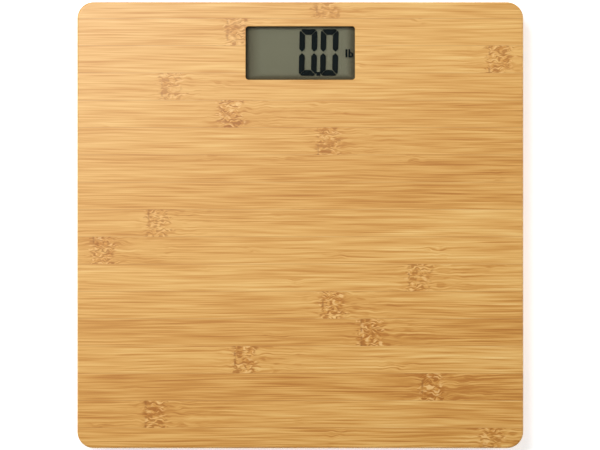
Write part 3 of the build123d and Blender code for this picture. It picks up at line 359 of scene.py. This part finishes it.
def moulded_plastic(name, colour, roughness, grain=0.03):
    """Injection moulded plastic with a spark-eroded texture, faint flow marks and patches of dust."""
    t = Tree(name)
    place = t.place()
    texture = t.noise(place, 3, 0.6, 3.2)
    flow = t.noise(t.vector("MULTIPLY", place, (0.03, 0.09, 0.05)), 3, 0.6)
    dust = t.ease(t.noise(place, 4, 0.65, 0.16), 0.5, 0.72)
    lighter = tuple(min(1.0, c * 1.3 + 0.012) for c in colour)
    dusty = tuple(c * 0.8 + 0.05 for c in colour)
    shade = t.mix(flow, colour, lighter)
    shade = t.mix(t.math("MULTIPLY", dust, 0.3), shade, dusty)
    gloss = t.math("MULTIPLY_ADD", texture, 0.16, roughness - 0.08)
    return t.finish(t.principled(shade, gloss, t.bump(texture, grain, 0.7)))


def rubber(name, colour):
    """Matt rubber: a fine grain, a bloom in patches and pale dust that clings to it."""
    t = Tree(name)
    place = t.place()
    grain = t.noise(place, 4, 0.7, 5.0)
    bloom = t.noise(place, 3, 0.55, 0.22)
    specks = t.ease(t.noise(place, 2, 0.5, 1.9), 0.66, 0.74)
    pale = tuple(c + 0.045 for c in colour)
    shade = t.mix(bloom, colour, pale)
    shade = t.mix(t.math("MULTIPLY", specks, 0.25), shade, tuple(c + 0.12 for c in colour))
    gloss = t.ease(bloom, 0.3, 0.7, 0.72, 0.86)
    surface = t.principled(shade, gloss, t.bump(grain, 0.04, 0.6), Specular_IOR_Level=0.35)
    return t.finish(surface)


def metal(name, colour, roughness, stretch=(1.0, 1.0, 1.0), tint=(0.5, 0.5, 0.5), grain=0.01):
    """Plain metal with cloudy plating and a fine grain, drawn out along the axes where stretch is small."""
    t = Tree(name)
    place = t.place()
    brushed = t.noise(t.vector("MULTIPLY", place, stretch), 4, 0.65, 6.0)
    clouds = t.noise(place, 4, 0.6, 0.35)
    shade = t.mix(t.ease(clouds, 0.35, 0.75, 0.0, 0.45), colour, tint)
    shade = t.mix(t.ease(brushed, 0.35, 0.65, 0.0, 0.18), shade, tuple(c * 0.7 for c in colour))
    cloudy = t.ease(clouds, 0.3, 0.7, roughness - 0.1, roughness)
    gloss = t.math("ADD", t.math("MULTIPLY", brushed, 0.16), cloudy)
    surface = t.principled(shade, gloss, t.bump(brushed, grain, 0.5), Metallic=1.0)
    return t.finish(surface)


def clear(name, tint, ior, roughness=0.03):
    """A clear sheet that is seen through without bending the light, and reflects as its surface does.

    The tint is laid on the outward faces alone, so that a sheet's two faces tint once between them.
    """
    t = Tree(name)
    smears = t.noise(t.vector("MULTIPLY", t.place(), (0.05, 0.08, 0.05)), 5, 0.6)
    gloss = t.ease(smears, 0.35, 0.75, roughness, roughness + 0.08)
    back = t.add("ShaderNodeNewGeometry", {}, output="Backfacing")
    through = t.add("ShaderNodeBsdfTransparent", {"Color": t.mix(back, tint, (1.0, 1.0, 1.0))})
    shine = t.add("ShaderNodeBsdfGlossy", {"Color": (1.0, 1.0, 1.0), "Roughness": gloss})
    amount = t.math("MULTIPLY", t.add("ShaderNodeFresnel", {"IOR": ior}), t.math("SUBTRACT", 1.0, back))
    return t.finish(t.add("ShaderNodeMixShader", {0: amount, 1: through, 2: shine}))


def lcd_reflector():
    """The grey-green film behind the liquid crystal, with the faint sparkle of its metal flakes.

    Near the window's walls its colour is darkened and browned: painted shade and a painted reflection of the
    wood, laid over the real shadow that the walls cast.
    """
    t = Tree("reflector_film")
    place = t.place()
    flakes = t.noise(place, 2, 0.7, 9.0)
    clouds = t.noise(place, 2, 0.5, 0.05)
    shade = t.mix(flakes, (0.34, 0.34, 0.255), (0.42, 0.42, 0.32))
    shade = t.mix(t.math("MULTIPLY", clouds, 0.4), shade, (0.385, 0.39, 0.32))
    x, y, _ = t.split(place)
    # Painted light: the film is painted lighter towards the right.
    shade = t.mix(t.ease(x, -20.0, 30.0, 0.0, 0.7), shade, (0.43, 0.43, 0.335))
    # Painted shade of the left, right, near and far walls, from where it starts to where it is full.
    y = t.math("SUBTRACT", y, WINDOW_Y)
    side, end = OPENING_WIDTH / 2, OPENING_LENGTH / 2
    painted_wall_shades = [
        t.ease(x, -side + 12, -side - 3),
        t.ease(x, side - 7, side),
        t.ease(y, -end + 5, -end + 1),
        t.ease(y, end - 1.5, end, 0.0, 0.2),
    ]
    painted_wall_shade = painted_wall_shades[0]
    for wall in painted_wall_shades[1:]:
        painted_wall_shade = t.math("MAXIMUM", painted_wall_shade, wall)
    # Painted shade near the walls, in a brown that stands for a painted reflection of the wood.
    shade = t.mix(t.math("MULTIPLY", painted_wall_shade, 0.85), shade, (0.13, 0.10, 0.05))
    return t.finish(t.principled(shade, 0.55, t.bump(flakes, 0.004, 0.5), Metallic=0.25))


def lcd_ink():
    """Liquid crystal that is switched on: nearly black, with an uneven blue-green cast."""
    t = Tree("lcd_ink")
    clouds = t.noise(t.place(), 3, 0.5, 0.3)
    shade = t.mix(clouds, (0.002, 0.008, 0.012), (0.005, 0.015, 0.020))
    return t.finish(t.principled(shade, 0.6, Specular_IOR_Level=0.1))


TRACK_PITCH = 1.27  # of the copper tracks, in mm


def circuit_laminate():
    """Green solder mask over copper tracks that run along X in some patches and along Y in the others."""
    t = Tree("circuit_board_laminate")
    place = t.place()
    x, y, _ = t.split(place)
    patches = t.split(t.add("ShaderNodeTexVoronoi", {"Vector": place, "Scale": 0.11}, output="Color"))
    in_x, in_y = [
        t.math("ABSOLUTE", t.math("SUBTRACT", t.math("FRACT", t.math("DIVIDE", axis, TRACK_PITCH)), 0.5))
        for axis in (x, y)
    ]
    turned = t.math("GREATER_THAN", patches[0], 0.5)
    not_turned = t.math("SUBTRACT", 1.0, turned)
    across = t.math("ADD", t.math("MULTIPLY", in_x, turned), t.math("MULTIPLY", in_y, not_turned))
    track = t.math("MULTIPLY", t.ease(across, 0.17, 0.13), t.math("GREATER_THAN", patches[1], 0.3))
    shade = t.mix(t.noise(place, 2, 0.5, 0.2), (0.010, 0.085, 0.030), (0.016, 0.115, 0.040))
    shade = t.mix(track, shade, (0.035, 0.20, 0.060))
    return t.finish(t.principled(shade, 0.3, t.bump(track, 0.03, 0.8)))


def capacitor_sleeve():
    """A dark blue sleeve with a pale stripe on its outer side, over an aluminium can whose end is bare."""
    t = Tree("capacitor_sleeve")
    place = t.place()
    x, _, z = t.split(place)
    low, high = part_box("capacitors")
    low, high = low / MM, high / MM
    side = t.math("ABSOLUTE", t.math("SUBTRACT", x, (low.x + high.x) / 2))
    stripe = t.ease(side, (high.x - low.x) / 2 - 0.5, (high.x - low.x) / 2 - 0.4)
    bare = t.ease(z, low.z + 0.35, low.z + 0.25)
    shade = t.mix(t.noise(place, 2, 0.5, 0.8), (0.010, 0.016, 0.06), (0.016, 0.024, 0.085))
    shade = t.mix(stripe, shade, (0.5, 0.52, 0.56))
    shade = t.mix(bare, shade, (0.72, 0.73, 0.74))
    gloss = t.noise(place, 3, 0.6, 1.5)
    return t.finish(t.principled(shade, t.ease(gloss, 0.2, 0.8, 0.24, 0.36), Metallic=bare))


# The connector strip's black layers and the core that they are in, in mm.
ZEBRA_PITCH = 0.36
ZEBRA_CORE = 0.9


def zebra_rubber():
    """Pink silicone on both sides of a core in which thin black layers stand along the strip."""
    t = Tree("connector_rubber")
    place = t.place()
    x, y, _ = t.split(place)
    low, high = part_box("zebra_strip")
    middle = (low.y + high.y) / 2 / MM
    layers = t.math("GREATER_THAN", t.math("FRACT", t.math("DIVIDE", x, ZEBRA_PITCH)), 0.5)
    core = t.math("LESS_THAN", t.math("ABSOLUTE", t.math("SUBTRACT", y, middle)), ZEBRA_CORE / 2)
    shade = t.mix(t.noise(place, 2, 0.5, 0.9), (0.62, 0.27, 0.20), (0.70, 0.34, 0.26))
    shade = t.mix(t.math("MULTIPLY", layers, core), shade, (0.01, 0.01, 0.01))
    return t.finish(t.principled(shade, 0.55))


def epoxy():
    """Black potting epoxy, which flowed before it set."""
    t = Tree("black_epoxy")
    place = t.place()
    waves = t.noise(place, 2, 0.5, 0.35)
    shade = t.mix(t.noise(place, 3, 0.6, 2.0), (0.006, 0.006, 0.007), (0.016, 0.016, 0.017))
    return t.finish(t.principled(shade, 0.16, t.bump(waves, 0.25, 0.6)))


def silicone():
    """White silicone, slightly see-through, with a slow wavy skin."""
    t = Tree("white_silicone")
    place = t.place()
    waves = t.noise(place, 2, 0.5, 0.9)
    shade = t.mix(waves, (0.72, 0.72, 0.69), (0.84, 0.84, 0.82))
    surface = t.principled(
        shade,
        0.32,
        t.bump(waves, 0.12, 0.6),
        Subsurface_Weight=0.2,
        Subsurface_Radius=(1.0, 1.0, 1.0),
        Subsurface_Scale=MM,
    )
    return t.finish(surface)


def insulation(name, colour):
    """The soft PVC of a thin lead, with its slight extrusion ripple."""
    t = Tree(name)
    place = t.place()
    ripple = t.noise(place, 3, 0.6, 1.6)
    shade = t.mix(ripple, tuple(c * 0.82 for c in colour), colour)
    gloss = t.ease(ripple, 0.3, 0.7, 0.3, 0.42)
    return t.finish(t.principled(shade, gloss, t.bump(ripple, 0.03, 0.5)))


FLOOR_GLOW = 0.5


def pale_floor():
    """A white floor that glows a little, and is clear from below so that the underside can be looked at."""
    t = Tree("pale_floor")
    shade = t.mix(t.noise(t.place(), 2, 0.5, 0.01), (0.93, 0.93, 0.93), (0.95, 0.95, 0.95))
    surface = t.principled(
        shade,
        0.7,
        Specular_IOR_Level=0.2,
        Emission_Color=(1.0, 1.0, 1.0),
        Emission_Strength=FLOOR_GLOW,
    )
    below = t.add("ShaderNodeNewGeometry", {}, output="Backfacing")
    clear_side = t.add("ShaderNodeBsdfTransparent", {"Color": (1.0, 1.0, 1.0)})
    return t.finish(t.add("ShaderNodeMixShader", {0: below, 1: surface, 2: clear_side}))


def foam():
    """Black closed-cell foam."""
    t = Tree("black_foam")
    cells = t.add("ShaderNodeTexVoronoi", {"Vector": t.place(), "Scale": 4.0})
    shade = t.mix(t.ease(cells, 0.0, 0.7), (0.008, 0.008, 0.008), (0.035, 0.035, 0.036))
    return t.finish(t.principled(shade, 0.9, t.bump(cells, 0.05, 0.8)))


def paint():
    """Gives every node of the frame the material of its slot in the record."""
    charcoal = (0.026, 0.026, 0.028)
    tarnish = (0.36, 0.35, 0.33)
    materials = {
        "bamboo": bamboo(),
        "clear_window": clear("clear_window", (0.96, 0.97, 0.96), ior=1.4),
        "black_foam": foam(),
        "polarizer_film": clear("polarizer_film", (0.67, 0.65, 0.61), ior=1.06, roughness=0.2),
        "lcd_glass": clear("lcd_glass", (0.98, 0.985, 0.98), ior=1.05),
        "reflector_film": lcd_reflector(),
        "black_plastic": moulded_plastic("black_plastic", (0.010, 0.010, 0.011), 0.55),
        "connector_rubber": zebra_rubber(),
        "circuit_board_laminate": circuit_laminate(),
        "zinc_steel": metal("zinc_steel", (0.62, 0.635, 0.66), 0.34, tint=(0.50, 0.56, 0.60)),
        "black_epoxy": epoxy(),
        "capacitor_sleeve": capacitor_sleeve(),
        "light_grey_plastic": moulded_plastic("light_grey_plastic", (0.33, 0.335, 0.34), 0.42, 0.015),
        "charcoal_plastic": moulded_plastic("charcoal_plastic", charcoal, 0.5),
        "nickel_steel": metal("nickel_steel", (0.69, 0.67, 0.63), 0.24, stretch=(1.0, 0.08, 1.0)),
        "red_insulation": insulation("red_insulation", (0.50, 0.012, 0.012)),
        "white_insulation": insulation("white_insulation", (0.78, 0.78, 0.75)),
        "black_insulation": insulation("black_insulation", (0.012, 0.012, 0.013)),
        "spring_steel": metal("spring_steel", (0.48, 0.48, 0.475), 0.5, tint=tarnish, grain=0.03),
        "white_silicone": silicone(),
        "black_rubber": rubber("black_rubber", (0.014, 0.014, 0.0145)),
    }
    for entry in frame["record"]["subparts"]:
        mesh = NODES[entry["node"]].data
        mesh.materials.clear()
        mesh.materials.append(materials[entry["material_slot"]])


# ---- The display's segments ----

# In mm, and places from the window's centre.
DIGITS = 2
DIGIT_HEIGHT = 31.3
DIGIT_WIDTH = 12.0
SEGMENT = 3.8  # a segment's width
SEGMENT_GAP = 0.35
CORNER_CUT = 1.8
WAIST_GAP = 0.8  # between the tips of an upper and a lower segment
DIGIT_PITCH = 14.3
LEAN = math.radians(1.2)
FIRST_DIGIT = (-1.1, -14.9)  # its lower left corner
POINT_SIZE = 2.5
UNIT_PLACE = (30.4, -2.6)
UNIT_HEIGHT = 5.5
UNIT_STROKE = 1.3
SECOND_STEM = 2.05  # from the unit's left edge to its second letter
BOWL_STROKE = 0.8
INK_THICKNESS = 0.015
INK_GAP = 0.002  # under the front glass


def zero_outlines():
    """The six lit segments of a 0, as outlines from the digit's lower left corner."""
    w, h, s, cut = DIGIT_WIDTH, DIGIT_HEIGHT, SEGMENT, CORNER_CUT
    slit = SEGMENT_GAP / math.sqrt(2) / 2  # the half width of the diagonal slit between two segments
    tip = h / 2 + WAIST_GAP / 2
    top = [
        (cut, h),
        (w - cut, h),
        (w - cut / 2 - slit, h - cut / 2 + slit),
        (w - s - 2 * slit, h - s),
        (s + 2 * slit, h - s),
        (cut / 2 + slit, h - cut / 2 + slit),
    ]
    upper_left = [
        (0, h - cut),
        (cut / 2 - slit, h - cut / 2 - slit),
        (s, h - s - 2 * slit),
        (s, tip + s / 2),
        (s / 2, tip),
        (0, tip + s / 2),
    ]

    def mirrored(outline, in_x, in_y):
        points = [(w - x if in_x else x, h - y if in_y else y) for x, y in outline]
        return points[::-1] if in_x != in_y else points

    sides = [mirrored(upper_left, in_x, in_y) for in_x in (False, True) for in_y in (False, True)]
    return [top, mirrored(top, False, True), *sides]


def unit_outlines():
    """The letters of the unit, lb, as outlines from their lower left corner."""
    h, s = UNIT_HEIGHT, UNIT_STROKE
    bowl_x, radius = SECOND_STEM + 0.9 * s, h * 0.32
    turns = [math.radians(a) for a in range(-90, 91, 15)]

    def half_round(from_stem, reach, rise):
        """Half an ellipse that reaches to the right, centred from_stem from the stem."""
        centre_x = bowl_x + from_stem
        return [(centre_x + reach * math.cos(a), radius + rise * math.sin(a)) for a in turns]

    outer = half_round(0.4, 1.7, radius)
    inner = half_round(0.2, 0.7, radius - BOWL_STROKE)
    top = 2 * radius
    outside = [(bowl_x, 0), *outer, (bowl_x, top)]
    inside = [(bowl_x, top - BOWL_STROKE), *inner[::-1], (bowl_x, BOWL_STROKE)]
    return [
        [(0, 0), (s, 0), (s, h), (0, h)],
        [(SECOND_STEM, 0), (bowl_x, 0), (bowl_x, h), (SECOND_STEM, h)],
        outside + inside,
    ]


def shifted(outline, x, y):
    return [(x + px, y + py) for px, py in outline]


def display_outlines():
    """Every lit shape of the readout, in mm from the window's centre."""
    shapes = []
    left, bottom = FIRST_DIGIT
    for i in range(DIGITS):
        shapes += [shifted(outline, left + i * DIGIT_PITCH, bottom) for outline in zero_outlines()]
    point_x = left + DIGIT_WIDTH + (DIGIT_PITCH - DIGIT_WIDTH - POINT_SIZE) / 2
    square = [(0, 0), (POINT_SIZE, 0), (POINT_SIZE, POINT_SIZE), (0, POINT_SIZE)]
    shapes.append(shifted(square, point_x, bottom))
    leaning = [[(px + math.tan(LEAN) * (py - bottom), py) for px, py in shape] for shape in shapes]
    return leaning + [shifted(shape, *UNIT_PLACE) for shape in unit_outlines()]


def prisms(name, outlines, low_z, high_z):
    """One object of upright prisms over outlines given in mm."""
    verts, faces = [], []
    for outline in outlines:
        start, count = len(verts), len(outline)
        verts += [(px * MM, py * MM, low_z) for px, py in outline]
        verts += [(px * MM, py * MM, high_z) for px, py in outline]
        faces.append([start + i for i in reversed(range(count))])
        faces.append([start + count + i for i in range(count)])
        for i in range(count):
            j = (i + 1) % count
            faces.append([start + i, start + j, start + count + j, start + count + i])
    mesh = bpy.data.meshes.new(name)
    mesh.from_pydata(verts, [], faces)
    mesh.validate()
    mesh.update()
    piece = bpy.data.objects.new(name, mesh)
    bpy.context.scene.collection.objects.link(piece)
    return piece


def lcd_segments():
    """The lit segments, in the liquid crystal between the two glasses."""
    high_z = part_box("lcd_front_glass")[0].z - INK_GAP * MM
    outlines = [shifted(outline, 0.0, WINDOW_Y) for outline in display_outlines()]
    piece = prisms("lcd_segments", outlines, high_z - INK_THICKNESS * MM, high_z)
    piece.data.materials.append(lcd_ink())
    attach(piece, "platform")


# ---- Stage ----

FLOOR_HALF_SIDE = 12.0
WORLD_STRENGTH = 0.15
CAMERA_HEIGHT = 1.5  # above the board
FRAME_WIDTH = 0.4032  # what the picture takes in at the board's height
CAMERA_SHIFT = (-0.0002, 0.0001)
SENSOR_WIDTH = 36

# Each light's name, place, width, length and power in watts. All of them face the middle of the board.
SOFTBOXES = [
    ("left_softbox", (-0.85, 0.1, 0.55), 0.6, 1.0, 2.4),
    ("right_softbox", (0.85, 0.1, 0.5), 0.6, 1.0, 2.5),
    ("near_softbox", (0.0, -0.9, 0.5), 1.0, 0.6, 0.9),
    ("upper_left_softbox", (-0.4, 0.52, 1.15), 0.6, 0.6, 13.4),
]


def floor():
    corners = [(x * FLOOR_HALF_SIDE, y * FLOOR_HALF_SIDE, 0) for x, y in ((-1, -1), (1, -1), (1, 1), (-1, 1))]
    mesh = bpy.data.meshes.new("floor")
    mesh.from_pydata(corners, [], [(0, 1, 2, 3)])
    piece = bpy.data.objects.new("floor", mesh)
    bpy.context.scene.collection.objects.link(piece)
    piece.data.materials.append(pale_floor())


def softbox(name, place, width, length, power):
    data = bpy.data.lights.new(name, "AREA")
    data.shape = "RECTANGLE"
    data.size = width
    data.size_y = length
    data.energy = power
    lamp = bpy.data.objects.new(name, data)
    bpy.context.scene.collection.objects.link(lamp)
    lamp.location = place
    middle = Vector((0, 0, BOARD_HIGH.z))
    lamp.rotation_euler = (middle - Vector(place)).to_track_quat("-Z", "Y").to_euler()


def lights():
    for values in SOFTBOXES:
        softbox(*values)
    world = bpy.data.worlds.new("studio")
    world.use_nodes = True
    background = world.node_tree.nodes["Background"]
    background.inputs["Color"].default_value = (1, 1, 1, 1)
    background.inputs["Strength"].default_value = WORLD_STRENGTH
    bpy.context.scene.world = world


def camera():
    """Straight above the platform, far enough away that the window's walls hardly show."""
    data = bpy.data.cameras.new("camera")
    data.sensor_width = SENSOR_WIDTH
    data.lens = SENSOR_WIDTH * CAMERA_HEIGHT / FRAME_WIDTH
    lens = bpy.data.objects.new("camera", data)
    bpy.context.scene.collection.objects.link(lens)
    lens.location = (*CAMERA_SHIFT, BOARD_HIGH.z + CAMERA_HEIGHT)
    bpy.context.scene.camera = lens


def main():
    paint()
    lcd_segments()
    floor()
    lights()
    camera()
    scene = bpy.context.scene
    scene.view_settings.view_transform = "Standard"
    # The display is seen through four sheets, so light crosses sixteen clear faces on its way in and out.
    scene.cycles.transparent_max_bounces = 32


main()
